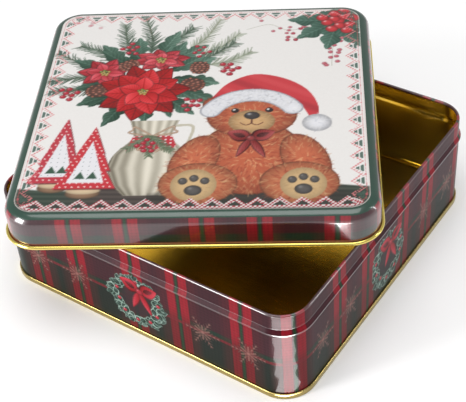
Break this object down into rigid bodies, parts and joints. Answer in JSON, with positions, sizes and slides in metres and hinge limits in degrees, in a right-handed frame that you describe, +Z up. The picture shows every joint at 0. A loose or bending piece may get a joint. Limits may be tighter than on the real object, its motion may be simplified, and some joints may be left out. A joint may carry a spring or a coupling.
{
  "type": "square cookie tin",
  "caption": "Low square tinplate tin with rounded corners, a beaded wall with a rolled rim, and a lift-off drawn lid lying askew on top.",
  "frame": {"origin": "centre of the square that the tin's bottom seam stands on", "axes": "+Z up; X and Y square to the flat sides of the body; the lid lies turned about Z on the rim"},
  "size_m": [0.2655, 0.2655, 0.0828],
  "materials": {
    "printed_tinplate": "gloss lacquer over dark tartan print, gold lacquer inside",
    "gold_lacquer": "gloss gold lacquer on tinplate",
    "printed_lid": "gloss lacquer over a pale printed panel and tartan skirt, gold lacquer inside"
  },
  "bodies": {
    "base": {"body_wall": "printed_tinplate", "bottom_panel": "gold_lacquer"},
    "lid": {"lid": "printed_lid"}
  },
  "joints": [
    {"name": "lid_lift", "type": "slide", "parent": "base", "child": "lid", "axis": [0, 0, 1], "range_m": [0, 0.12]}
  ]
}
